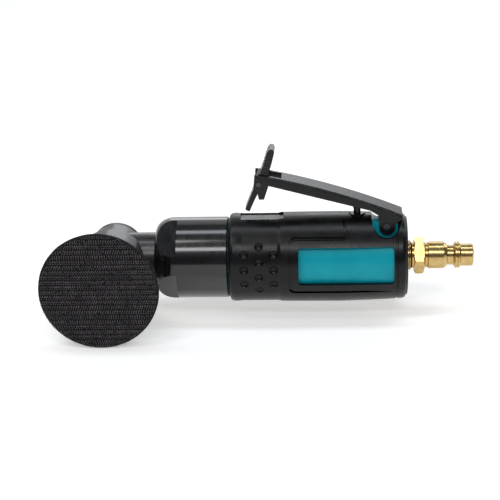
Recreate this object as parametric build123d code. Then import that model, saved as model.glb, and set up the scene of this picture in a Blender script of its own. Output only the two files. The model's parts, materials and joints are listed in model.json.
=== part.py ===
"""Compact right-angle pneumatic orbital sander with a 50 mm hook-and-loop pad.

Frame (millimetres): the origin is the centre of the pad's working face. The pad faces -Y,
the motor axis is parallel to X at y = YM, with the air inlet at +X, and the throttle lever is on top (+Z).
"""
from build123d import *
import math
import os

os.makedirs("parts", exist_ok=True)

# ------------------------------------------------------------------ driving dimensions
YM = 41.0            # motor axis above the pad face
ECC = 1.2            # orbit radius, so the orbit diameter is 2.4
XS = ECC             # spindle axis (the pad axis is x = 0 at rest)
PAD_R = 25.0         # 50 mm pad
BARREL_R = 17.6      # clamp nut outside radius
GRIP_R = 19.4        # soft grip outside radius
HOUSING_R = 17.2     # motor housing outside radius
NECK_R = 11.0        # angle-head neck
HEAD_R = 11.5        # angle-head rear barrel
SHROUD_R = 15.2      # balancer shroud
NOSE_X, NOSE_LEN = 20.2, 8.2
SEAM_X = 52.6        # joint between clamp nut and grip
END_X = 127.4        # rear end of the grip
LEVER_PX, LEVER_PZ = 119.5, 15.2   # throttle lever pivot
LOCK_PX, LOCK_PZ = 65.4, 34.6      # lock lever pivot
VALVE_X = 107.0      # throttle valve axis
REG_X = 115.9        # air regulator axis
PINION_T, GEAR_T, MODULE = 12, 16, 1.0
FACE_W = 3.9         # bevel gear face width

AX_MOTOR = Axis((0, YM, 0), (1, 0, 0))
AX_SPINDLE = Axis((XS, 0, 0), (0, 1, 0))
AX_PAD = Axis((0, 0, 0), (0, 1, 0))


# ------------------------------------------------------------------ helpers
def cyl_x(x0, x1, r, y=YM, z=0.0):
    return Pos((x0 + x1) / 2, y, z) * Rot(0, 90, 0) * Cylinder(r, x1 - x0)


def cyl_y(y0, y1, r, x=XS, z=0.0):
    return Pos(x, (y0 + y1) / 2, z) * Rot(90, 0, 0) * Cylinder(r, y1 - y0)


def cyl_z(z0, z1, r, x=VALVE_X, y=YM):
    return Pos(x, y, (z0 + z1) / 2) * Cylinder(r, z1 - z0)


def ring_x(x0, x1, ro, ri, y=YM, z=0.0):
    return cyl_x(x0, x1, ro, y, z) - cyl_x(x0 - 1, x1 + 1, ri, y, z)


def ring_y(y0, y1, ro, ri, x=XS, z=0.0):
    return cyl_y(y0, y1, ro, x, z) - cyl_y(y0 - 1, y1 + 1, ri, x, z)


def ring_z(z0, z1, ro, ri, x=VALVE_X, y=YM):
    return cyl_z(z0, z1, ro, x, y) - cyl_z(z0 - 1, z1 + 1, ri, x, y)


def box(x0, x1, y0, y1, z0, z1):
    return Pos((x0 + x1) / 2, (y0 + y1) / 2, (z0 + z1) / 2) * Box(x1 - x0, y1 - y0, z1 - z0)


def rev_x(points):
    """Revolves (x, radius) points about the motor axis."""
    wire = Polyline(*[(x, YM, r) for x, r in points], close=True)
    return revolve(make_face(wire), AX_MOTOR, 360)


def rev_y(points, x=XS):
    """Revolves (y, radius) points about an axis parallel to Y."""
    wire = Polyline(*[(x + r, y, 0) for y, r in points], close=True)
    return revolve(make_face(wire), Axis((x, 0, 0), (0, 1, 0)), 360)


def side(points, y0, y1, radius=0.0, skip=()):
    """Extrudes a closed XZ outline from y0 to y1. points are (x, z)."""
    face = make_face(Polyline(*[(x, 0, z) for x, z in points], close=True))
    if radius:
        verts = [v for i, v in enumerate(face.vertices()) if i not in skip]
        face = fillet(verts, radius) if verts else face
    solid = extrude(face, amount=y1 - y0, dir=(0, 1, 0))
    return Pos(0, y0, 0) * solid


def bearing(along, at, bore, outer, width, n, ball_r, centre=None):
    """Deep-groove ball bearing: returns (outer ring, balls, inner ring). at is the low end along its axis."""
    mid = (bore + outer) / 2
    lo, hi = at, at + width
    c = (lo + hi) / 2
    if along == "x":
        place = Pos(c, YM, 0) * Rot(0, 90, 0)
    else:
        place = Pos(centre if centre is not None else XS, c, 0) * Rot(90, 0, 0)
    groove = Torus(mid, ball_r + 0.06)
    lip = ball_r * 0.62
    o = Cylinder(outer, width) - Cylinder(mid + lip, width + 2) - groove
    i = Cylinder(mid - lip, width) - Cylinder(bore, width + 2) - groove
    balls = [Pos(mid * math.cos(2 * math.pi * k / n), mid * math.sin(2 * math.pi * k / n), 0) * Sphere(ball_r)
             for k in range(n)]
    return place * o, [place * b for b in balls], place * i


def bevel_gear_teeth(teeth, mate, phase):
    """Straight bevel gear about +Z with its apex at the origin and its large end at z = pitch height.
    The flanks are the back-cone involute, thinned for backlash, scaled towards the apex."""
    rp = MODULE * teeth / 2
    delta = math.atan2(teeth, mate)
    cone = MODULE * math.hypot(teeth, mate) / 2
    rv = rp / math.cos(delta)
    rb = rv * math.cos(math.radians(20))
    zv = teeth / math.cos(delta)
    half = math.pi / (2 * zv) - 0.08 / rv          # half tooth angle, less the backlash
    inv = lambda a: math.tan(a) - a
    inv0 = inv(math.radians(20))
    ra, rf = rv + 0.70 * MODULE, rv - 1.12 * MODULE

    def at(r, sign):
        th = half if r <= rb else half - (inv(math.acos(rb / r)) - inv0)
        if r <= rb:
            th = half + inv0
        gamma = delta + math.atan2(r - rv, cone)
        return gamma, sign * th / math.cos(delta)

    levels = [rf, max(rb, rf + 0.1), rv - 0.35, rv, rv + 0.42, ra]
    levels = sorted(set(round(v, 4) for v in levels))
    prof = []
    for k in range(teeth):
        base = 2 * math.pi * (k + phase) / teeth
        for r in levels:
            g, t = at(r, -1)
            prof.append((g, base + t))
        for r in reversed(levels):
            g, t = at(r, 1)
            prof.append((g, base + t))
    z1 = rp / math.tan(delta) + 0.0
    z0 = (cone - FACE_W) * math.cos(delta)

    def wire(z):
        return Wire.make_polygon([Vector(z * math.tan(g) * math.cos(a), z * math.tan(g) * math.sin(a), z)
                                  for g, a in prof], close=True)
    body = Solid.make_loft([wire(z0), wire(z1)], True)
    return body, z0, z1, delta, cone


PARTS = {}


def keep(name, *shapes):
    flat = []
    for s in shapes:
        if isinstance(s, (list, tuple)):
            flat += list(s)
        else:
            flat.append(s)
    PARTS[name] = flat


# ------------------------------------------------------------------ pad (turns freely on the eccentric)
hook = cyl_y(0.0, 1.3, PAD_R, x=0)
keep("hook_face", hook)
foam = rev_y([(1.3, 0), (1.3, PAD_R), (2.3, PAD_R - 0.15), (6.6, PAD_R - 2.0), (7.4, PAD_R - 2.8), (7.4, 0)], x=0)
foam -= cyl_y(5.2, 7.5, 8.05, x=0)
keep("pad_foam", foam)
plate = rev_y([(7.4, 3.1), (7.4, PAD_R - 3.0), (8.1, PAD_R - 3.4), (8.6, PAD_R - 4.6), (9.0, 10.5), (10.2, 9.2), (10.2, 3.1)], x=0)
for k in range(12):
    a = 2 * math.pi * k / 12
    rib = Pos(0, 8.75, 0) * Rot(0, math.degrees(a), 0) * Pos(15.6, 0, 0) * Box(10.0, 0.9, 0.9)
    plate += rib
keep("pad_plate", plate)
stud = cyl_y(5.25, 7.38, 8.0, x=0) + rev_y([(7.0, 0), (7.0, 2.98), (15.8, 2.98), (16.4, 2.4), (16.4, 0)], x=0)
keep("pad_stud", stud)
pspin = rev_y([(10.22, 3.02), (10.22, 7.0), (10.6, 7.3), (12.0, 7.3), (12.4, 6.4), (12.4, 5.2), (13.2, 5.2), (13.2, 3.99),
               (18.25, 3.99), (18.25, 3.55), (18.95, 3.55), (18.95, 3.95), (19.35, 3.95), (19.35, 0), (16.9, 0), (16.9, 3.02)], x=0)
for a in (0, 90, 180, 270):
    pspin -= Pos(0, 0, 0) * Rot(0, a, 0) * box(6.6, 9, 10.1, 12.6, -5, 5)
keep("pad_spindle", pspin)
snap = ring_y(18.3, 18.9, 5.4, 3.57, x=0) - box(2.0, 7, 18, 19.2, -1.2, 1.2)
keep("pad_snap_ring", snap)
po, pb, pi_ = bearing("y", 13.25, 4.0, 8.0, 5.0, 9, 1.05, centre=0.0)
keep("pad_bearing_outer", po)
keep("pad_bearing_balls", pb)
keep("pad_bearing_inner", pi_)

# ------------------------------------------------------------------ spindle (turns in the angle head)
cup = rev_y([(13.2, 0), (13.2, 10.2), (13.6, 10.5), (20.2, 10.5), (20.2, 6.8), (23.0, 6.8), (23.0, 5.0), (29.4, 5.0),
             (29.4, 4.0), (37.2, 4.0), (37.2, 2.98), (51.6, 2.98), (52.0, 2.5), (52.0, 0)])
cup -= cyl_y(13.0, 18.27, 8.0, x=0)
cup -= cyl_y(18.0, 19.8, 6.3, x=0)
keep("orbit_spindle", cup)
cw = ring_y(14.0, 20.0, 12.9, 10.5) & box(XS + 1.5, 30, 10, 24, -20, 20)
keep("counterweight", cw)
lo_, lb, li = bearing("y", 23.02, 5.0, 11.0, 6.0, 9, 1.6)
keep("spindle_bearing_outer", lo_)
keep("spindle_bearing_balls", lb)
keep("spindle_bearing_inner", li)

# bevel pair, apex at the crossing of the motor and spindle axes
g_body, gz0, gz1, gdelta, gcone = bevel_gear_teeth(GEAR_T, PINION_T, 0.5)
p_body, pz0, pz1, pdelta, pcone = bevel_gear_teeth(PINION_T, GEAR_T, 0.0)
apex = (XS, YM, 0)
# gear: local +Z from the apex points to -Y (towards the pad)
g_place = Pos(*apex) * Rot(90, 0, 0)
# pinion: local +Z from the apex points to +X, and local +X points to -Z
p_place = Pos(*apex) * Rot(0, 90, 0)
g_rf = gz1 * math.tan(gdelta - math.atan2(1.12 * MODULE, gcone))
gear = g_place * g_body
gear += cyl_y(YM - gz1 - 2.4, YM - gz1 + 0.02, g_rf)
gear += cyl_y(29.45, YM - gz1 - 2.3, 7.0)
gear += cyl_y(YM - gz1 - 1.0, 37.2, 4.6)
gear -= cyl_y(20, 50, 4.0)
keep("bevel_gear", gear)
p_rf = pz1 * math.tan(pdelta - math.atan2(1.12 * MODULE, pcone))
pin = p_place * p_body
pin += cyl_x(XS + pz1 - 0.02, 12.4, p_rf)
pin += cyl_x(12.3, 28.8, 3.98)
pin += Pos(31.9, YM, 0) * Rot(0, 90, 0) * extrude(RegularPolygon(5.9 / 2, 6, major_radius=False), 3.1, both=True)
keep("bevel_pinion", pin)

# ------------------------------------------------------------------ angle head
head = cyl_y(29.15, 53.0, HEAD_R)
head = chamfer(head.edges().filter_by(GeomType.CIRCLE).sort_by(Axis.Y)[-1], 0.5)
head += cyl_x(XS, 21.9, NECK_R)
head += cyl_x(21.9, 26.8, 13.6)
head += cyl_x(26.7, 30.2, 12.0)
head -= cyl_y(29.0, 46.4, 10.2)
head -= cyl_y(46.0, 47.0, 4.4)
head -= cyl_y(46.9, 53.2, 5.0)
head -= cyl_y(52.0, 53.2, 8.6)
head -= cyl_x(6.0, 12.5, 7.5)
head -= cyl_x(12.4, 20.0, 6.2)
head -= cyl_x(19.9, 31.0, 8.0)
keep("angle_head_housing", head)
keep("spindle_bush", ring_y(47.02, 51.9, 4.98, 3.03))
cap = rev_y([(52.05, 0), (52.05, 8.55), (53.05, 8.55), (53.05, 11.0), (53.5, HEAD_R), (54.6, HEAD_R), (55.0, 11.1), (55.3, 9.5), (55.3, 0)])
for sx in (-1, 1):
    cap -= cyl_y(53.8, 56, 1.1, x=XS + sx * 6.5)
keep("head_cap", cap)
shroud = rev_y([(12.9, 13.6), (12.9, 14.7), (13.4, SHROUD_R), (35.3, SHROUD_R), (36.3, 14.3), (36.5, 13.4), (36.5, 11.55), (29.1, 11.55),
                (29.1, 11.0), (23.0, 11.0), (23.0, 11.9), (20.5, 11.9), (20.5, 13.6)])
shroud -= cyl_x(XS, 22.0, NECK_R + 0.15)
keep("balancer_shroud", shroud)
ret = ring_y(20.7, 22.95, 11.85, 7.2)
for k in range(4):
    ret -= Pos(XS, 0, 0) * Rot(0, 45 + 90 * k, 0) * Pos(-XS, 0, 0) * cyl_y(20.5, 21.8, 0.9, x=XS + 9.5)
keep("bearing_retainer", ret)
keep("pinion_bush", ring_x(12.55, 19.4, 6.18, 4.02))
bo, bb, bi = bearing("x", 21.5, 4.0, 8.0, 5.0, 9, 1.05)
keep("pinion_bearing_outer", bo)
keep("pinion_bearing_balls", bb)
keep("pinion_bearing_inner", bi)

# ------------------------------------------------------------------ clamp nut: the long black barrel with four spanner flats
n_arc = 14
pts = [(NOSE_X, NECK_R + 0.15), (NOSE_X, 11.9)]
for k in range(1, n_arc + 1):
    t = math.pi - (math.pi / 2) * k / n_arc
    pts.append((NOSE_X + NOSE_LEN + NOSE_LEN * math.cos(t), 11.9 + (BARREL_R - 11.9) * math.sin(t)))
arc_pts = pts[1:]
prof = Polyline((NOSE_X, YM, NECK_R + 0.15), (NOSE_X, YM, 11.9)) + Spline(
    *[(x, YM, r) for x, r in arc_pts], tangents=[(0, 0, 1), (1, 0, 0)]
) + Polyline((arc_pts[-1][0], YM, arc_pts[-1][1]), (51.3, YM, BARREL_R), (51.9, YM, BARREL_R - 0.6), (51.9, YM, 15.55),
             (30.45, YM, 15.55), (30.45, YM, 13.75), (21.9, YM, 13.75), (21.9, YM, NECK_R + 0.15), (NOSE_X, YM, NECK_R + 0.15))
nut = revolve(make_face(prof), AX_MOTOR, 360)
for k in range(4):
    flat = Pos(0, YM, 0) * Rot(-(52 + 90 * k), 0, 0) * box(15, 29.9, -30, -15.0, -20, 20)
    nut -= flat
keep("clamp_nut", nut)

# ------------------------------------------------------------------ motor housing
hous = rev_x([(30.5, 13.95), (30.5, 15.2), (30.8, 15.5), (52.6, 15.5), (52.6, HOUSING_R), (124.2, HOUSING_R), (124.2, 15.9),
              (120.6, 15.9), (120.6, 8.2), (113.0, 8.2), (113.0, 0), (91.0, 0), (91.0, 13.95)])
ear_slot = cyl_y(YM - 22, YM + 22, 5.4, x=LEVER_PX, z=LEVER_PZ) + box(LEVER_PX - 5.4, LEVER_PX + 5.4, YM - 22, YM + 22, LEVER_PZ, 40)
ear_room = ear_slot - box(90, 140, YM - 4.7, YM + 4.7, -40, 60)
grip_recess = cyl_y(YM - 30, YM + 30, 6.3, x=LEVER_PX - 0.2, z=LEVER_PZ + 3.5) + box(LEVER_PX - 6.5, LEVER_PX + 6.1, YM - 30, YM + 30, LEVER_PZ + 3.5, 40)
# the tongue stands in the muffler recess too
hous += box(120.4, 124.2, YM - 4.7, YM + 4.7, 9.4, 16.4)
hous -= ear_room
hous -= cyl_x(105.0, 113.2, 5.0)                       # inlet passage to the valve chamber
hous -= cyl_z(-17.5, 17.5, 4.2)                        # valve chamber
hous -= cyl_z(-18.0, -8.4, 4.8)                        # valve plug seat
hous -= cyl_x(90.0, 105.0, 1.9, z=7.4)                 # valve to motor
hous -= cyl_x(90.0, 101.5, 2.4, z=-12.4)               # exhaust, front stretch
hous -= cyl_x(90.0, 121.0, 2.2, y=YM + 8.6, z=-9.6)    # exhaust, round the valve plug
hous -= cyl_x(90.0, 121.0, 2.2, y=YM - 8.6, z=-9.6)
hous -= cyl_z(-17.5, -9.2, 3.25, x=REG_X)              # regulator seat
hous -= box(114.0, 121.0, YM - 8.6, YM + 8.6, -12.6, -10.4)
hous -= cyl_z(-18.0, -15.6, 4.2, x=REG_X)
for s in (-1, 1):
    hous -= cyl_x(115.5, 121, 1.25, y=YM + s * 12.4)
hous -= cyl_y(YM - 8.2, YM + 8.2, 1.52, x=LEVER_PX, z=LEVER_PZ)
keep("motor_housing", hous)

# ------------------------------------------------------------------ soft grip
grip = rev_x([(SEAM_X - 0.35, 15.55), (SEAM_X - 0.35, 17.8), (SEAM_X, 18.5), (SEAM_X + 0.6, 18.9), (SEAM_X + 1.5, 19.1), (55.6, 19.1),
              (58.0, 18.9), (73.0, 18.9), (74.4, 19.3), (86.0, GRIP_R), (101.0, 19.45), (112.0, 19.1),
              (120.0, 18.75), (123.2, 18.55), (123.4, 18.25), (123.9, 18.25), (124.1, 18.5), (125.9, 18.4), (126.9, 18.1), (END_X, 17.6), (END_X, HOUSING_R + 0.03), (SEAM_X - 0.03, HOUSING_R + 0.03), (SEAM_X - 0.03, 15.55)])
# a window on each side shows the housing
for s in (-1, 1):
    y0, y1 = (YM + 9, YM + 23) if s > 0 else (YM - 23, YM - 9)
    window = box(81.9, 122.3, y0, y1, -6.5, 9.75)
    grip -= fillet(window.edges().filter_by(Axis.Y), 1.1)
# hexagonally packed dimples on each side
for s in (-1, 1):
    dimples = []
    for col, angs in ((58.9, (-20.4, 0, 20.4)), (65.2, (-30.6, -10.2, 10.2, 30.6)), (71.4, (-20.4, 0, 20.4))):
        for a in angs:
            t = math.radians(a + 2.0)
            rr = 18.85 + 1.15
            # the ball's poles lie along X and its seam faces outward, clear of the surface it cuts
            out_tilt = math.degrees(math.atan2(s * math.cos(t), -math.sin(t)))
            ball = Rot(out_tilt, 0, 0) * Rot(0, 90, 0) * Sphere(2.15)
            dimples.append(Pos(col, YM + s * rr * math.cos(t), rr * math.sin(t)) * ball)
    grip -= dimples
# lever recess, valve hole, regulator hole and the relief where the lock's foot swings
grip -= grip_recess
grip -= cyl_z(10, 30, 3.6)
grip -= cyl_z(-30, -10, 4.3, x=REG_X)
grip -= box(57.0, 75.5, YM - 4.2, YM + 4.2, 18.0, 30)
# the moulded line round the window: a rounded band sunk into each side
corners = [(100.9, 24.0), (100.9, 17.6), (103.2, 13.0), (78.3, 13.0), (78.3, -10.3), (123.0, -10.3)]


def rounded(points, cut, steps):
    """Replaces each inner corner with short runs along a curve that starts `cut` before it."""
    out = [points[0]]
    for p0, p1, p2 in zip(points, points[1:], points[2:]):
        a = [p1[i] + (p0[i] - p1[i]) * cut / math.dist(p0, p1) for i in (0, 1)]
        b = [p1[i] + (p2[i] - p1[i]) * cut / math.dist(p1, p2) for i in (0, 1)]
        for k in range(steps + 1):
            t = k / steps
            out.append(tuple((1 - t) ** 2 * a[i] + 2 * t * (1 - t) * p1[i] + t * t * b[i] for i in (0, 1)))
    return out + [points[-1]]


line_pts = rounded(corners, 2.2, 3)
for s in (-1, 1):
    for (xa, za), (xb, zb) in zip(line_pts, line_pts[1:]):
        run = math.hypot(xb - xa, zb - za)
        tilt = math.degrees(math.atan2(zb - za, xb - xa))
        strip = Pos((xa + xb) / 2, YM + s * 16, (za + zb) / 2) * Rot(0, -tilt, 0) * Box(run + 0.35, 24, 1.2)
        grip -= strip & ring_x(60, 140, 22.5, 18.6)
keep("grip_sleeve", grip)

# ------------------------------------------------------------------ vane motor
keep("motor_retaining_ring", ring_x(37.0, 40.9, 13.9, 11.5) - box(36, 38.5, YM - 1.5, YM + 1.5, -20, 20))
fep = ring_x(41.0, 48.5, 13.9, 5.2) - cyl_x(40.9, 47.1, 9.5)
keep("front_end_plate", fep)
liner = cyl_x(48.52, 82.48, 13.9) - cyl_x(48, 83, 11.0, z=1.0)
for k in range(5):
    t = math.radians(200 + 14 * k)
    liner -= Pos(56 + 4.6 * k, YM + 12.4 * math.cos(t), 12.4 * math.sin(t)) * Rot(-math.degrees(t) * 0, 0, 0) * Sphere(1.4)
liner -= box(60, 71, YM - 1.4, YM + 1.4, 10.5, 16)
keep("cylinder_liner", liner)
rep = ring_x(82.5, 89.2, 13.9, 4.0) - cyl_x(84.1, 90, 7.5)
for dz in (-4.5, 4.5):
    rep -= cyl_x(82, 90, 1.6, y=YM + dz, z=9.6)
keep("rear_end_plate", rep)
fo, fb, fi = bearing("x", 41.05, 4.0, 9.5, 6.0, 9, 1.35)
keep("front_bearing_outer", fo)
keep("front_bearing_balls", fb)
keep("front_bearing_inner", fi)
ro_, rb_, ri_ = bearing("x", 84.12, 3.0, 7.5, 5.0, 8, 1.15)
keep("rear_bearing_outer", ro_)
keep("rear_bearing_balls", rb_)
keep("rear_bearing_inner", ri_)
rotor = cyl_x(48.8, 82.2, 9.8) + cyl_x(41.0, 48.9, 3.98) + cyl_x(82.1, 89.1, 2.98)
rotor += Pos(38.4, YM, 0) * Rot(0, 90, 0) * extrude(RegularPolygon(5.9 / 2, 6, major_radius=False), 2.9, both=True)
vanes = []
for k in range(5):
    place = Pos(0, YM, 0) * Rot(72 * k, 0, 0)
    rotor -= place * box(48.7, 82.3, -0.85, 0.85, 4.9, 11)
    vanes.append(place * box(48.9, 82.1, -0.75, 0.75, 5.05, 9.88))
keep("rotor", rotor)
keep("vanes", vanes)
coup = cyl_x(29.2, 40.8, 5.6) - Pos(35, YM, 0) * Rot(0, 90, 0) * extrude(RegularPolygon(6.0 / 2, 6, major_radius=False), 8, both=True)
keep("drive_coupling", coup)

# ------------------------------------------------------------------ air inlet
keep("inlet_bushing", ring_x(113.02, 127.9, 8.18, 6.6) + ring_x(113.02, 115.2, 8.18, 4.9))
thread = [(117.9, 3.0), (117.9, 5.7)]
x = 118.3
while x < 129.8:
    thread += [(x, 5.75), (x + 0.42, 6.55), (x + 0.62, 6.55), (x + 1.04, 5.75)]
    x += 1.337
nip = thread + [(130.5, 5.5), (131.25, 5.5), (131.25, 5.9), (135.7, 5.9), (136.2, 5.35), (137.0, 5.35), (137.5, 5.85), (144.0, 5.85),
                (145.2, 4.95), (145.6, 4.3), (148.0, 4.3), (148.6, 5.3), (148.9, 5.75), (149.4, 5.75), (149.6, 5.35), (149.9, 5.35),
                (150.1, 5.75), (150.6, 5.75), (151.3, 4.8), (156.1, 4.8), (156.6, 4.3), (156.6, 3.0)]
nipple = rev_x(nip)
hexa = Pos(133.45, YM, 0) * Rot(0, 90, 0) * extrude(RegularPolygon(7.0, 6, major_radius=False, rotation=30), 2.2, both=True)
hexa &= rev_x([(131.2, 0), (131.2, 6.9), (132.0, 8.25), (134.9, 8.25), (135.7, 6.9), (135.7, 0)])
nipple += hexa - cyl_x(120, 140, 3.0)
keep("air_nipple", nipple)
scr = cyl_x(115.25, 116.0, 6.5)
for r, n in ((0, 1), (2.2, 6), (4.2, 12)):
    for k in range(n):
        t = 2 * math.pi * k / n
        scr -= cyl_x(115, 117, 0.75, y=YM + r * math.cos(t), z=r * math.sin(t))
keep("inlet_screen", scr)

# ------------------------------------------------------------------ exhaust end
muf = ring_x(120.7, 124.2, 15.8, 8.25) - ear_slot - box(119, 126, YM - 4.9, YM + 4.9, 8.0, 20)
for s in (-1, 1):
    muf -= cyl_x(120, 125, 1.75, y=YM + s * 12.4)
keep("muffler", muf)
rc = rev_x([(124.25, 8.25), (124.25, 17.15), (127.6, 17.15), (128.2, 16.6), (128.2, 9.6), (127.9, 9.2), (127.9, 8.25)])
for k in range(-4, 5):
    for s in (-1, 1):
        t = math.radians(-90 + s * (16 + 0) * 0 + 14 * k)
        if s == 1:
            rc -= Pos(126, YM, 0) * Rot(math.degrees(t), 0, 0) * Pos(0, 12.9, 0) * Box(8, 4.6, 1.5)
rc -= ear_slot
for s in (-1, 1):
    rc -= cyl_x(124, 129, 1.6, y=YM + s * 12.4)
    rc -= cyl_x(126.6, 129, 2.9, y=YM + s * 12.4)
keep("rear_cap", rc)
scs = []
for s in (-1, 1):
    y = YM + s * 12.4
    sc = cyl_x(116.0, 126.7, 1.22, y=y) + cyl_x(126.62, 128.3, 2.75, y=y)
    sc -= Pos(128.0, y, 0) * Rot(0, 90, 0) * extrude(RegularPolygon(1.25, 6, major_radius=False), 1.1, both=True)
    scs.append(sc)
keep("rear_cap_screws", scs)

# ------------------------------------------------------------------ throttle valve
vb = cyl_z(9.3, 16.4, 4.18) + cyl_z(16.3, 19.6, 3.2)
vb = chamfer(vb.edges().filter_by(GeomType.CIRCLE).sort_by(Axis.Z)[-1], 0.4)
vb -= cyl_z(9, 21, 1.56)
keep("valve_bushing", vb)
keep("valve_seat", ring_z(4.8, 6.2, 4.18, 2.3))
stem = cyl_z(4.75, 24.2, 1.5) + cyl_z(22.0, 24.2, 1.7)
stem += Pos(VALVE_X, YM, 24.0) * (Sphere(1.5) & Pos(0, 0, 2) * Box(4, 4, 4))
keep("valve_stem", stem)
keep("valve_poppet", cyl_z(2.7, 4.72, 3.4) + cyl_z(1.2, 2.8, 1.6))
helix = Helix(pitch=1.62, height=9.7, radius=2.5)
wire_profile = Plane(origin=helix @ 0, z_dir=helix % 0) * Circle(0.34)
spring = sweep(wire_profile, path=helix, is_frenet=True)
keep("valve_spring", Pos(VALVE_X, YM, -7.6) * spring)
vp = cyl_z(-16.4, -8.45, 4.75) - cyl_z(-11.0, -8, 3.3)
vp -= box(VALVE_X - 6, VALVE_X + 6, YM - 0.6, YM + 0.6, -17.5, -15.6)
keep("valve_plug", vp)

# ------------------------------------------------------------------ air regulator, turned with a coin from below
reg = cyl_z(-16.0, -9.4, 3.2, x=REG_X) + cyl_z(-18.3, -15.7, 3.9, x=REG_X)
reg -= cyl_x(110, 125, 1.0, z=-11.5)
reg -= box(112, 122, YM - 0.6, YM + 0.6, -19, -17.2)
keep("air_regulator", reg)

# ------------------------------------------------------------------ throttle lever: a folded steel channel
LT = 1.2
top = ThreePointArc((68.0, 0, 38.0), (96.0, 0, 31.0), (126.2, 0, 20.2))
low = ThreePointArc((68.0, 0, 38.0 - LT), (96.0, 0, 31.0 - LT - 0.05), (126.8, 0, 20.2 - LT - 0.2))


def outline(curve, rest):
    """Face bounded by a curve and a polyline from its end back to its start. rest are (x, z)."""
    a, b = curve @ 0, curve @ 1
    line = Polyline((b.X, 0, b.Z), *[(x, 0, z) for x, z in rest], (a.X, 0, a.Z))
    return make_face([curve, line])


outer_face = outline(top, [(126.2, 18.6), (123.0, 16.4), (122.9, 13.6), (121.3, 11.8), (119.5, 11.4), (117.7, 11.8), (116.4, 13.6), (116.3, 20.0),
                           (112.5, 22.4), (104.0, 24.7), (69.6, 33.9), (67.6, 27.9), (65.4, 27.9), (64.8, 31.0), (63.2, 32.8), (63.7, 38.6)])
lever = Pos(0, YM, 0) * extrude(outer_face, amount=6.0, dir=(0, 1, 0), both=True)
inner_face = outline(low, [(140.0, 17.6), (140.0, 0), (50.0, 0), (50.0, 37.4)])
lever -= Pos(0, YM, 0) * extrude(inner_face, amount=4.8, dir=(0, 1, 0), both=True)
lever -= box(50.0, 75.0, YM - 3.7, YM + 3.7, 33, 45)           # slot for the lock lever
lever -= box(50.0, 70.3, YM - 4.8, YM + 4.8, 20, 45)
lever -= cyl_y(YM - 10, YM + 10, 1.55, x=LEVER_PX, z=LEVER_PZ)
lever -= cyl_y(YM - 10, YM + 10, 1.02, x=LOCK_PX, z=LOCK_PZ)
long_edges = [e for e in lever.edges() if e.length > 40 and e.center().Z > 27]
try:
    lever = fillet([e for e in long_edges if abs(abs(e.center().Y - YM) - 6.0) < 0.05], 1.0)
except Exception as exc:
    print("lever fillet skipped:", exc)
keep("throttle_lever", lever)
pinl = cyl_y(YM - 6.35, YM + 6.35, 1.5, x=LEVER_PX, z=LEVER_PZ)
keep("lever_pivot_pin", pinl)
keep("lock_pin", cyl_y(YM - 6.5, YM + 6.5, 1.0, x=LOCK_PX, z=LOCK_PZ))

# ------------------------------------------------------------------ lock lever: thumb tab above, foot below
HW, FW = 4.4, 3.7     # half widths of the tab and the foot
lock_pts = [(63.3, 32.6), (59.4, 23.0), (59.9, 22.4), (61.2, 21.9), (63.6, 27.2), (65.2, 30.4), (67.2, 33.2), (68.3, 35.6), (69.8, 39.6),
            (70.8, 42.2), (71.9, 46.4), (72.3, 48.2), (71.7, 49.4), (70.4, 49.5), (69.4, 48.4), (68.6, 46.6), (67.3, 42.4), (66.0, 38.9),
            (64.6, 38.2), (63.6, 36.4), (63.3, 34.2)]
lock = side(lock_pts, YM - HW, YM + HW)
for s in (-1, 1):
    lock -= box(50, 80, YM + s * 4.7 - 1.0, YM + s * 4.7 + 1.0, 18, 31.2)
lock -= box(50, 80, YM - 2.3, YM + 2.3, 30.6, 39.8) & cyl_y(YM - 3, YM + 3, 3.7, x=LOCK_PX, z=LOCK_PZ)
# grip grooves across the tab's front face
for k in range(4):
    zc = 42.6 + 1.45 * k
    lock -= cyl_y(YM - 6, YM + 6, 0.4, x=67.3 + (zc - 42.4) * 0.31 - 0.1, z=zc)
lock -= cyl_y(YM - 10, YM + 10, 1.05, x=LOCK_PX, z=LOCK_PZ)
keep("lock_lever", lock)
h2 = Helix(pitch=0.62, height=3.1, radius=1.95)
prof2 = Plane(origin=h2 @ 0, z_dir=h2 % 0) * Circle(0.24)
coil = sweep(prof2, path=h2, is_frenet=True)
lock_spring = Pos(LOCK_PX, YM + 1.55, LOCK_PZ) * Rot(90, 0, 0) * coil
keep("lock_spring", lock_spring)

# ------------------------------------------------------------------ export
for name, shapes in PARTS.items():
    solids = []
    for s in shapes:
        solids += list(s.solids())
    shape = solids[0] if len(solids) == 1 else Compound(children=solids)
    export_step(shape, f"parts/{name}.step")
print(len(PARTS), "nodes")
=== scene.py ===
import json
import math
import random

import bmesh
import bpy
from mathutils import Matrix, Vector


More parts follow.
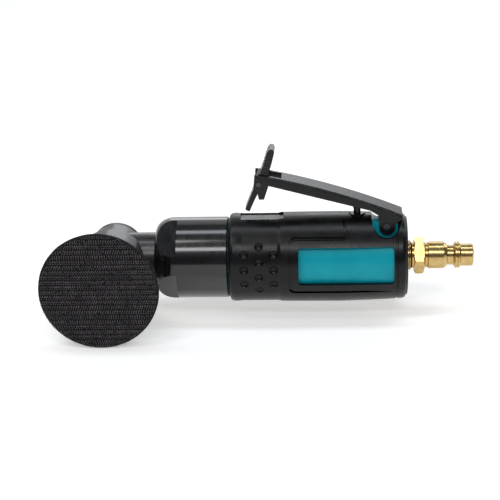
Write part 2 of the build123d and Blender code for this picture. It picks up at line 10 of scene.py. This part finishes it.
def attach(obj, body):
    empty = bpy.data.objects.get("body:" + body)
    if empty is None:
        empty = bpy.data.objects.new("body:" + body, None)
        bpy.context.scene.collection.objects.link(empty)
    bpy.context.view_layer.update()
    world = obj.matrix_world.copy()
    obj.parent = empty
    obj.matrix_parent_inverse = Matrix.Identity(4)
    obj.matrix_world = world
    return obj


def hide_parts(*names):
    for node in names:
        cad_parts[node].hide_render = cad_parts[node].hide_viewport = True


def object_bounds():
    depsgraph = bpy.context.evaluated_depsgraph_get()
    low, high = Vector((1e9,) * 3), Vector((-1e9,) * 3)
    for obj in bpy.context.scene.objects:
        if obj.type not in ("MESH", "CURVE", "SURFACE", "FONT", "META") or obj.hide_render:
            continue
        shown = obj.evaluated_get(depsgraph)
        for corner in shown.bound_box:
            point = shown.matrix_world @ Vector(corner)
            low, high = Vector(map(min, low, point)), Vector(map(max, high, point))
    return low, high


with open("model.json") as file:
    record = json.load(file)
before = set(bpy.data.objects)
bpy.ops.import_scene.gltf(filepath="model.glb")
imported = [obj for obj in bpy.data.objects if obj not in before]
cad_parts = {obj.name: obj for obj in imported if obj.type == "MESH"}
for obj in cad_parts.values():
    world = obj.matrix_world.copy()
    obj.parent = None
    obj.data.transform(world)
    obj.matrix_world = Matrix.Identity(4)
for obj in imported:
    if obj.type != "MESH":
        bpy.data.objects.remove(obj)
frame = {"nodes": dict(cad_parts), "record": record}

cad_box = [[float(v) for v in p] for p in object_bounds()]
nodes = frame["nodes"]
MM = 0.001
YM = 41.0 * MM                       # motor axis
PAD_R = 25.0 * MM
rnd = random.Random(7)


# ------------------------------------------------------------------ camera, at the reference viewing angle
def set_camera():
    az, el, roll = math.radians(3.3), math.radians(20.3), math.radians(1.68)
    r = Vector((math.cos(az), math.sin(az), 0))
    b = Vector((math.sin(az) * math.cos(el), -math.cos(az) * math.cos(el), math.sin(el)))
    u = Vector((-math.sin(az) * math.sin(el), math.cos(az) * math.sin(el), math.cos(el)))
    r2 = r * math.cos(roll) - u * math.sin(roll)
    u2 = u * math.cos(roll) + r * math.sin(roll)
    place = Vector((0, YM, 0)) + (60.5 * r2 + 3.4 * u2 + 645.6 * b) * MM
    cam = bpy.data.objects.new("camera", bpy.data.cameras.new("camera"))
    bpy.context.scene.collection.objects.link(cam)
    cam.data.sensor_width = 36.0
    cam.data.lens = 36.0 * 1480.0 / 500.0
    cam.data.clip_start, cam.data.clip_end = 0.01, 20
    m = Matrix((r2, u2, b)).transposed().to_4x4()
    m.translation = place
    cam.matrix_world = m
    bpy.context.scene.camera = cam


set_camera()


# ------------------------------------------------------------------ material building blocks
class Mat:
    """A procedural material in object coordinates (metres, scaled to millimetres)."""

    def __init__(self, name, color, rough, metallic=0.0, **sockets):
        self.m = bpy.data.materials.new(name)
        self.m.use_nodes = True
        self.t = self.m.node_tree
        self.t.nodes.clear()
        self.out = self.n("ShaderNodeOutputMaterial")
        self.b = self.n("ShaderNodeBsdfPrincipled")
        self.link(self.b, "BSDF", self.out, "Surface")
        self.b.inputs["Base Color"].default_value = (*color, 1)
        self.b.inputs["Roughness"].default_value = rough
        self.b.inputs["Metallic"].default_value = metallic
        for k, v in sockets.items():
            self.b.inputs[k.replace("_", " ")].default_value = v
        tc = self.n("ShaderNodeTexCoord")
        sc = self.n("ShaderNodeVectorMath", operation="SCALE")
        sc.inputs["Scale"].default_value = 1000.0
        self.link(tc, "Object", sc, 0)
        self.mm = sc
        self.normal = None

    def n(self, kind, **props):
        node = self.t.nodes.new(kind)
        for k, v in props.items():
            setattr(node, k, v)
        return node

    def link(self, a, ao, b, bi):
        self.t.links.new(a.outputs[ao], b.inputs[bi])

    def noise(self, scale, detail=3.0, stretch=None, rough=0.55):
        x = self.n("ShaderNodeTexNoise")
        x.inputs["Scale"].default_value = scale
        x.inputs["Detail"].default_value = detail
        x.inputs["Roughness"].default_value = rough
        src = self.mm
        if stretch:
            mp = self.n("ShaderNodeVectorMath", operation="MULTIPLY")
            mp.inputs[1].default_value = stretch
            self.link(self.mm, 0, mp, 0)
            src = mp
        self.link(src, 0, x, "Vector")
        return x

    def ramp(self, node, out, stops):
        r = self.n("ShaderNodeValToRGB")
        e = r.color_ramp.elements
        while len(e) > 1:
            e.remove(e[-1])
        e[0].position, e[0].color = stops[0][0], (*stops[0][1], 1)
        for p, c in stops[1:]:
            x = e.new(p)
            x.color = (*c, 1)
        self.link(node, out, r, "Fac")
        return r

    def color(self, node, out, stops):
        self.link(self.ramp(node, out, stops), "Color", self.b, "Base Color")

    def rough(self, node, out, lo, hi, a=0.3, b=0.7):
        r = self.n("ShaderNodeMapRange")
        r.inputs["From Min"].default_value, r.inputs["From Max"].default_value = a, b
        r.inputs["To Min"].default_value, r.inputs["To Max"].default_value = lo, hi
        self.link(node, out, r, "Value")
        self.link(r, "Result", self.b, "Roughness")

    def bump(self, node, out, strength, depth_mm):
        x = self.n("ShaderNodeBump")
        x.inputs["Strength"].default_value = strength
        x.inputs["Distance"].default_value = depth_mm * MM
        self.link(node, out, x, "Height")
        if self.normal:
            self.link(self.normal, "Normal", x, "Normal")
        self.normal = x
        self.link(x, "Normal", self.b, "Normal")

    def worn(self, color, lo=0.53, hi=0.6, amount=0.5):
        """Lighter wear where edges stick out, over whatever colour is linked already."""
        g = self.n("ShaderNodeNewGeometry")
        r = self.n("ShaderNodeMapRange")
        r.inputs["From Min"].default_value, r.inputs["From Max"].default_value = lo, hi
        r.inputs["To Max"].default_value = amount
        self.link(g, "Pointiness", r, "Value")
        mix = self.n("ShaderNodeMix", data_type="RGBA")
        self.link(r, "Result", mix, 0)
        base = self.b.inputs["Base Color"]
        if base.links:
            self.t.links.new(base.links[0].from_socket, mix.inputs[6])
        else:
            mix.inputs[6].default_value = base.default_value
        mix.inputs[7].default_value = (*color, 1)
        self.t.links.new(mix.outputs[2], base)


def mat_hook():
    m = Mat("m_hook", (0.01, 0.009, 0.013), 0.85, Specular_IOR_Level=0.2)
    n = m.noise(0.8, 4)
    m.color(n, "Fac", [(0.3, (0.007, 0.0062, 0.007)), (0.7, (0.018, 0.016, 0.018))])
    f = m.noise(6.0, 3, (1.0, 1.0, 4.0))
    m.bump(f, "Fac", 0.6, 0.12)
    return m


def mat_hook_fibre_painted_sheen():
    # Hooks and loose threads: their colour is lifted to light grey, far above the near-black backing, as painted
    # sheen standing in for glints on the glossy hooks.
    m = Mat("m_hook_fibre_painted_sheen", (0.05, 0.047, 0.058), 0.5, Specular_IOR_Level=0.3)
    n = m.noise(0.22, 4)
    m.color(n, "Fac", [(0.3, (0.075, 0.068, 0.073)), (0.7, (0.34, 0.31, 0.325))])
    m.rough(n, "Fac", 0.42, 0.6)
    return m


def mat_foam():
    m = Mat("m_foam", (0.012, 0.012, 0.013), 0.9, Specular_IOR_Level=0.15)
    v = m.n("ShaderNodeTexVoronoi")
    v.inputs["Scale"].default_value = 2.6
    m.link(m.mm, 0, v, "Vector")
    m.color(v, "Distance", [(0.0, (0.005, 0.005, 0.006)), (0.5, (0.02, 0.02, 0.022))])
    m.bump(v, "Distance", 0.8, 0.25)
    m.bump(m.noise(1.2, 4), "Fac", 0.4, 0.3)
    return m


def mat_plastic(name, dark, light, r0, r1):
    m = Mat(name, dark, r0, Specular_IOR_Level=0.35)
    n = m.noise(0.35, 4)
    m.color(n, "Fac", [(0.3, dark), (0.7, light)])
    g = m.noise(9.0, 2)
    m.rough(g, "Fac", r0, r1)
    m.bump(g, "Fac", 0.25, 0.03)
    m.worn((0.03, 0.03, 0.03), lo=0.55, hi=0.65, amount=0.25)
    return m


def mat_rubber():
    m = Mat("m_grip", (0.004, 0.004, 0.0042), 0.28, Specular_IOR_Level=0.26)
    n = m.noise(0.12, 4)
    m.color(n, "Fac", [(0.3, (0.0028, 0.0028, 0.003)), (0.7, (0.0052, 0.0052, 0.0056))])
    g = m.noise(11.0, 3)
    m.rough(n, "Fac", 0.24, 0.34)
    m.bump(g, "Fac", 0.22, 0.035)
    m.worn((0.018, 0.018, 0.019), lo=0.55, hi=0.65, amount=0.3)
    return m


def mat_teal():
    m = Mat("m_teal", (0.005, 0.33, 0.41), 0.36, Specular_IOR_Level=0.18)
    n = m.noise(0.09, 3)
    m.color(n, "Fac", [(0.3, (0.003, 0.31, 0.385)), (0.7, (0.006, 0.365, 0.445))])
    g = m.noise(7.0, 3)
    m.rough(g, "Fac", 0.28, 0.4)
    m.bump(g, "Fac", 0.12, 0.025)
    return m


def mat_black_chrome():
    m = Mat("m_black_chrome", (0.012, 0.0115, 0.012), 0.16, 0.5, Coat_Weight=0.6, Coat_Roughness=0.08)
    n = m.noise(0.2, 4, (6.0, 1.0, 1.0))
    m.color(n, "Fac", [(0.3, (0.0075, 0.0072, 0.0072)), (0.7, (0.014, 0.0133, 0.0128))])
    m.rough(n, "Fac", 0.13, 0.24)
    m.bump(m.noise(0.5, 3, (10.0, 0.6, 0.6)), "Fac", 0.10, 0.02)
    m.worn((0.09, 0.09, 0.095), lo=0.54, hi=0.64, amount=0.5)
    return m


def mat_metal(name, c0, c1, r0, r1, turned=None, grain=0.1, coat=0.0, metallic=1.0):
    m = Mat(name, c0, r0, metallic, Coat_Weight=coat, Coat_Roughness=0.12)
    n = m.noise(0.25, 5)
    m.color(n, "Fac", [(0.3, c0), (0.7, c1)])
    m.rough(m.noise(1.3, 4), "Fac", r0, r1)
    m.bump(m.noise(1.0, 3, turned or (3.0, 3.0, 3.0)), "Fac", grain, 0.02)
    return m


def mat_lever():
    m = Mat("m_lever", (0.004, 0.004, 0.0042), 0.28, 0.0, Specular_IOR_Level=0.28)
    n = m.noise(0.2, 4)
    m.color(n, "Fac", [(0.3, (0.003, 0.003, 0.0031)), (0.7, (0.0055, 0.0055, 0.0057))])
    m.rough(m.noise(2.2, 4), "Fac", 0.22, 0.34)
    m.bump(m.noise(5.0, 3), "Fac", 0.18, 0.03)
    m.worn((0.05, 0.05, 0.052), lo=0.58, hi=0.72, amount=0.3)
    return m


def mat_felt():
    m = Mat("m_felt", (0.012, 0.012, 0.012), 0.95, Sheen_Weight=0.1)
    n = m.noise(4.0, 6)
    m.color(n, "Fac", [(0.3, (0.009, 0.009, 0.009)), (0.7, (0.02, 0.02, 0.02))])
    m.bump(n, "Fac", 0.7, 0.2)
    return m


M = {
    "pad_hook": mat_hook(),
    "fibre": mat_hook_fibre_painted_sheen(),
    "pad_foam": mat_foam(),
    "black_plastic": mat_plastic("m_black_plastic", (0.006, 0.006, 0.0065), (0.011, 0.011, 0.0115), 0.4, 0.52),
    "head_metal": mat_metal("m_head", (0.035, 0.034, 0.034), (0.062, 0.06, 0.06), 0.26, 0.38, (1.0, 8.0, 1.0), 0.12, 0.15, 0.7),
    "black_chrome": mat_black_chrome(),
    "dark_steel": mat_metal("m_dark_steel", (0.05, 0.05, 0.052), (0.085, 0.085, 0.088), 0.3, 0.42, grain=0.08, metallic=0.8),
    "steel": mat_metal("m_steel", (0.42, 0.42, 0.43), (0.56, 0.56, 0.57), 0.24, 0.38, (8.0, 1.0, 1.0), 0.12),
    "bearing_steel": mat_metal("m_bearing", (0.6, 0.61, 0.63), (0.7, 0.71, 0.73), 0.12, 0.2, grain=0.04),
    "brass": mat_metal("m_brass", (0.50, 0.345, 0.13), (0.66, 0.475, 0.20), 0.2, 0.27, (12.0, 0.6, 0.6), 0.05),
    "bronze": mat_metal("m_bronze", (0.40, 0.23, 0.09), (0.52, 0.32, 0.14), 0.35, 0.5),
    "teal_plastic": mat_teal(),
    "grip_rubber": mat_rubber(),
    "lever_black": mat_lever(),
    "aluminium": mat_metal("m_aluminium", (0.62, 0.63, 0.64), (0.74, 0.75, 0.76), 0.26, 0.4, (8.0, 1.0, 1.0), 0.1),
    "vane_composite": mat_plastic("m_vane", (0.10, 0.055, 0.03), (0.17, 0.10, 0.055), 0.55, 0.7),
    "felt": mat_felt(),
    "seal_rubber": mat_plastic("m_seal", (0.006, 0.006, 0.006), (0.012, 0.012, 0.012), 0.5, 0.65),
}

slot_of = {s["node"]: s["material_slot"] for s in frame["record"]["subparts"]}
for name, obj in nodes.items():
    mat = M[slot_of[name]].m
    obj.data.materials.clear()
    obj.data.materials.append(mat)


# ------------------------------------------------------------------ mesh helpers
def make(name, bm, body, mat, replaces=(), smooth=True):
    me = bpy.data.meshes.new(name)
    bm.to_mesh(me)
    bm.free()
    for p in me.polygons:
        p.use_smooth = smooth
    ob = bpy.data.objects.new(name, me)
    bpy.context.scene.collection.objects.link(ob)
    me.materials.append(mat.m)
    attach(ob, body)
    if replaces:
        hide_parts(*replaces)
    return ob


def revolve(bm, profile, segments, wobble=0.0):
    """profile: (y, r) pairs in metres, about the pad's axis. Ends with r = 0 are closed to a point."""
    rings = []
    for y, r in profile:
        if r < 1e-7:
            rings.append([bm.verts.new((0, y, 0))])
            continue
        ring = []
        for k in range(segments):
            a = 2 * math.pi * k / segments
            rr = r + (wobble * (math.sin(5 * a + 1) + 0.6 * math.sin(11 * a + 2.2) + 0.5 * math.sin(23 * a)) if wobble else 0)
            ring.append(bm.verts.new((rr * math.cos(a), y, rr * math.sin(a))))
        rings.append(ring)
    for a, b in zip(rings, rings[1:]):
        for k in range(segments):
            k2 = (k + 1) % segments
            if len(a) == 1:
                bm.faces.new((a[0], b[k], b[k2]))
            elif len(b) == 1:
                bm.faces.new((a[k], b[0], a[k2]))
            else:
                bm.faces.new((a[k], b[k], b[k2], a[k2]))
    bmesh.ops.recalc_face_normals(bm, faces=bm.faces)


# ------------------------------------------------------------------ the pad: woven backing, hooks, foam
def hook_backing():
    """Round woven backing; its working side is raised in one low rib under each row of hooks."""
    bm = bmesh.new()
    rows = 2.2 * MM
    rings, segs = 46, 160
    top, bottom = [], []
    centre = bm.verts.new((0, 0.66 * MM, 0))
    for i in range(1, rings + 1):
        r = (PAD_R - 0.15 * MM) * i / rings
        ring = []
        for k in range(segs):
            a = 2 * math.pi * k / segs
            x, z = r * math.cos(a), r * math.sin(a)
            y = 0.68 * MM - 0.09 * MM * math.cos(2 * math.pi * z / rows)
            if i == rings:
                y += 0.12 * MM
            ring.append(bm.verts.new((x, y, z)))
        top.append(ring)
    for k in range(segs):
        bm.faces.new((centre, top[0][k], top[0][(k + 1) % segs]))
    for a, b in zip(top, top[1:]):
        for k in range(segs):
            bm.faces.new((a[k], b[k], b[(k + 1) % segs], a[(k + 1) % segs]))
    low = [bm.verts.new((v.co.x, 1.28 * MM, v.co.z)) for v in top[-1]]
    for k in range(segs):
        k2 = (k + 1) % segs
        bm.faces.new((top[-1][k], low[k], low[k2], top[-1][k2]))
    c2 = bm.verts.new((0, 1.28 * MM, 0))
    for k in range(segs):
        bm.faces.new((c2, low[(k + 1) % segs], low[k]))
    bmesh.ops.recalc_face_normals(bm, faces=bm.faces)
    return make("hook_backing", bm, "pad", M["pad_hook"], ["hook_face"])


def tube(bm, pts, radius, sides=4):
    rings = []
    for i, p in enumerate(pts):
        d = (pts[min(i + 1, len(pts) - 1)] - pts[max(i - 1, 0)]).normalized()
        side = d.cross(Vector((0.31, 0.42, 0.85))).normalized()
        up = d.cross(side).normalized()
        r = radius * (0.75 if i == len(pts) - 1 else 1.0)
        rings.append([bm.verts.new(p + side * r * math.cos(2 * math.pi * k / sides) + up * r * math.sin(2 * math.pi * k / sides))
                      for k in range(sides)])
    for a, b in zip(rings, rings[1:]):
        for k in range(sides):
            bm.faces.new((a[k], a[(k + 1) % sides], b[(k + 1) % sides], b[k]))
    bm.faces.new(list(reversed(rings[0])))
    bm.faces.new(rings[-1])


def hook_field():
    """Rows of small bent hooks, as on hook tape: each row bends one way, the next the other."""
    bm = bmesh.new()
    row, pitch = 2.2 * MM, 0.98 * MM
    n = int(PAD_R / row) + 1
    edge = (PAD_R - 0.55 * MM) ** 2
    for j in range(-n, n + 1):
        z0 = j * row
        slant = 1 if j % 2 else -1
        phase = rnd.uniform(0, 1) * pitch
        for lane, way in ((-0.70, 1), (0.02, 1), (0.72, -1)):
            shift = phase + lane * 0.55 * MM
            z1 = z0 + lane * MM
            if z1 * z1 > edge:
                continue
            half = math.sqrt(edge - z1 * z1)
            for i in range(int(2 * half / pitch) + 1):
                if rnd.random() < 0.05:
                    continue
                x = -half + shift + i * pitch + rnd.uniform(-0.1, 0.1) * MM
                z = z1 + rnd.uniform(-0.07, 0.07) * MM
                if x * x + z * z > edge:
                    continue
                lean = rnd.uniform(-0.10, 0.10) * MM
                h = rnd.uniform(0.48, 0.60) * MM
                base = 0.70 * MM
                sx = slant * rnd.uniform(0.14, 0.24) * MM
                sz = way * rnd.uniform(0.28, 0.42) * MM
                pts = [Vector((x, base, z)),
                       Vector((x + lean * 0.4, base - h * 0.6, z)),
                       Vector((x + sx * 0.25 + lean, base - h * 0.95, z + sz * 0.25)),
                       Vector((x + sx * 0.9 + lean, base - h * 0.98, z + sz * 0.9)),
                       Vector((x + sx * 1.3 + lean, base - h * 0.6, z + sz * 1.3))]
                tube(bm, pts, 0.085 * MM, 4)
    return make("hook_field", bm, "pad", M["fibre"])


def stray_fibres():
    """Loose threads at the cut edge of the backing."""
    bm = bmesh.new()
    for _ in range(120):
        a = rnd.uniform(0, 2 * math.pi) if rnd.random() < 0.45 else rnd.uniform(math.radians(185), math.radians(300))
        r = PAD_R - rnd.uniform(0.2, 0.6) * MM
        length = rnd.uniform(0.3, 1.1) * MM
        t = Vector((math.cos(a), 0, math.sin(a)))
        s = Vector((-math.sin(a), 0, math.cos(a))) * rnd.uniform(-1, 1)
        y = rnd.uniform(0.5, 1.1) * MM
        p = t * r + Vector((0, y, 0))
        q = (t + 0.8 * s).normalized()
        limit = PAD_R + 0.12 * MM
        pts = []
        for k in range(4):
            w = p + q * length * k / 3 + s * 0.12 * MM * k * k / 3
            rr = math.hypot(w.x, w.z)
            if rr > limit:
                w.x, w.z = w.x * limit / rr, w.z * limit / rr
            pts.append(w)
        tube(bm, pts, 0.04 * MM, 3)
    return make("stray_fibres", bm, "pad", M["fibre"])


def foam_pad():
    """Foam disc with a slightly barrelled, faintly uneven side and a soft upper edge."""
    bm = bmesh.new()
    prof = [(1.30, 0.0), (1.30, 12), (1.30, 20), (1.30, 24.3), (1.40, 24.75), (1.7, 24.98), (2.3, 24.99), (3.1, 24.72), (4.1, 24.31),
            (5.1, 23.82), (6.0, 23.34), (6.7, 22.86), (7.15, 22.4), (7.36, 21.9), (7.38, 21.2), (7.38, 15), (7.38, 8.2), (5.3, 8.1), (5.3, 0.0)]
    revolve(bm, [(y * MM, r * MM) for y, r in prof], 192, 0.035 * MM)
    # open cells show as small dents on the side
    dents = [(rnd.uniform(0, 2 * math.pi), rnd.uniform(1.8, 6.8) * MM, rnd.uniform(0.25, 0.55) * MM) for _ in range(260)]
    bmesh.ops.subdivide_edges(bm, edges=[e for e in bm.edges if all(v.co.xz.length > 22.3 * MM for v in e.verts)], cuts=1, use_grid_fill=True)
    for v in bm.verts:
        r = math.hypot(v.co.x, v.co.z)
        if r < 22.4 * MM:
            continue
        a = math.atan2(v.co.z, v.co.x) % (2 * math.pi)
        for da, dy, s in dents:
            d = math.hypot(((a - da + math.pi) % (2 * math.pi) - math.pi) * r, v.co.y - dy)
            if d < s:
                k = 1 - 0.12 * MM * (1 - d / s) / r
                v.co.x *= k
                v.co.z *= k
    ob = make("foam_pad", bm, "pad", M["pad_foam"], ["pad_foam"])
    return ob


hook_backing()
hook_field()
stray_fibres()
foam_pad()


# ------------------------------------------------------------------ studio
def area(name, place, target, size, power, color=(1, 1, 1), size_y=None):
    d = bpy.data.lights.new(name, "AREA")
    d.energy, d.color, d.size = power, color, size
    if size_y:
        d.shape, d.size_y = "RECTANGLE", size_y
    o = bpy.data.objects.new(name, d)
    bpy.context.scene.collection.objects.link(o)
    o.location = place
    o.rotation_euler = (Vector(target) - Vector(place)).to_track_quat("-Z", "Y").to_euler()
    return o


world = bpy.data.worlds.new("world")
bpy.context.scene.world = world
world.use_nodes = True
world.node_tree.nodes["Background"].inputs["Color"].default_value = (0.8, 0.88, 1.0, 1)
world.node_tree.nodes["Background"].inputs["Strength"].default_value = 0.12

bm = bmesh.new()
half, back = 3.0, 1.2
low = cad_box[0][2] - 0.0002
prof = [(-2.0, low), (back, low)] + [(back + 0.6 * math.sin(t), low + 0.6 - 0.6 * math.cos(t)) for t in [math.pi / 2 * k / 12 for k in range(1, 13)]] + [(back + 0.6, low + 2.5)]
prev = None
for y, z in prof:
    pair = (bm.verts.new((-half, y, z)), bm.verts.new((half, y, z)))
    if prev:
        bm.faces.new((prev[0], prev[1], pair[1], pair[0]))
    prev = pair
me = bpy.data.meshes.new("floor")
bm.to_mesh(me)
bm.free()
for p in me.polygons:
    p.use_smooth = True
floor = bpy.data.objects.new("floor", me)
bpy.context.scene.collection.objects.link(floor)
fm = Mat("m_floor", (0.9, 0.9, 0.9), 0.75)
fm.color(fm.noise(0.004, 2), "Fac", [(0.3, (0.80, 0.80, 0.80)), (0.7, (0.83, 0.83, 0.83))])
fm.b.inputs["Emission Color"].default_value = (1.0, 0.985, 0.96, 1)
fm.b.inputs["Emission Strength"].default_value = 0.42
me.materials.append(fm.m)

target = (0.06, 0.04, 0.0)
area("key", (-0.30, -0.45, 1.0), target, 0.4, 2.8, (1.0, 0.99, 0.97))
area("top", (0.06, 0.12, 0.95), target, 1.6, 4.0, (0.88, 0.94, 1.0), 0.18)
area("front_soft", (0.2, -0.85, 0.85), target, 0.9, 4.2, (0.97, 0.98, 1.0), 0.2)
area("back_strip", (0.45, 0.9, 0.42), target, 1.5, 2.4, (0.9, 0.95, 1.0), 0.2)
bpy.context.scene.view_settings.view_transform = "Standard"
